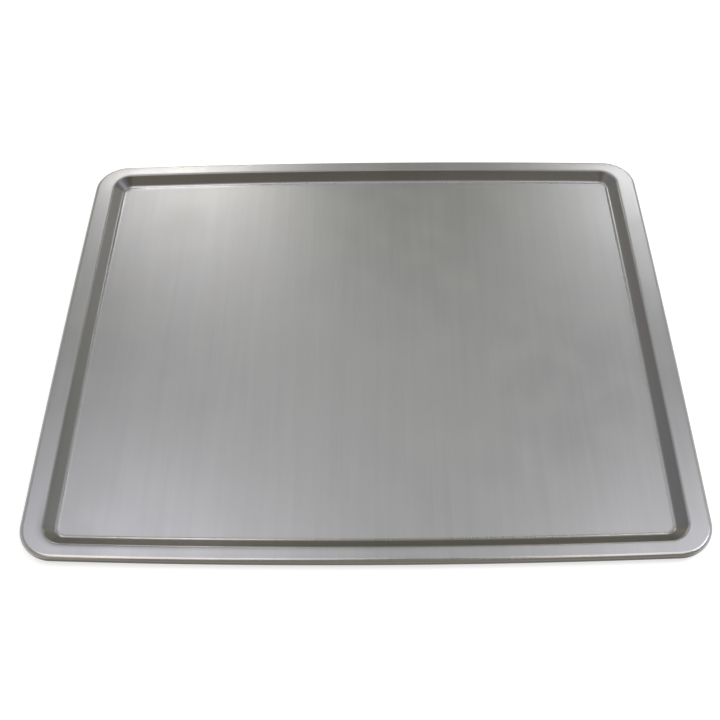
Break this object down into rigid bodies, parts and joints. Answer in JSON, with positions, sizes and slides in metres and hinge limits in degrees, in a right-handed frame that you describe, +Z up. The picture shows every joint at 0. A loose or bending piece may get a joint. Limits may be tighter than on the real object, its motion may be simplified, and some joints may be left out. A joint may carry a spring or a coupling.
{
  "type": "oven drip tray",
  "caption": "Shallow rectangular oven drip tray pressed from satin sheet metal, with a flat rim, sloping walls and a wired rolled edge.",
  "frame": {"origin": "on the surface that the tray stands on, below the middle of its floor", "axes": "+Z up, +X to the right along the longer side, +Y from the front edge to the rear edge"},
  "size_m": [0.46, 0.376, 0.0072],
  "materials": {
    "satin_sheet": "bare satin sheet with a fine grain from front to back, slightly duller on the drawn wall",
    "drawn_wire": "bare drawn wire"
  },
  "bodies": {
    "root": {"tray_pan": "satin_sheet", "rim_wire": "drawn_wire"}
  },
  "joints": []
}
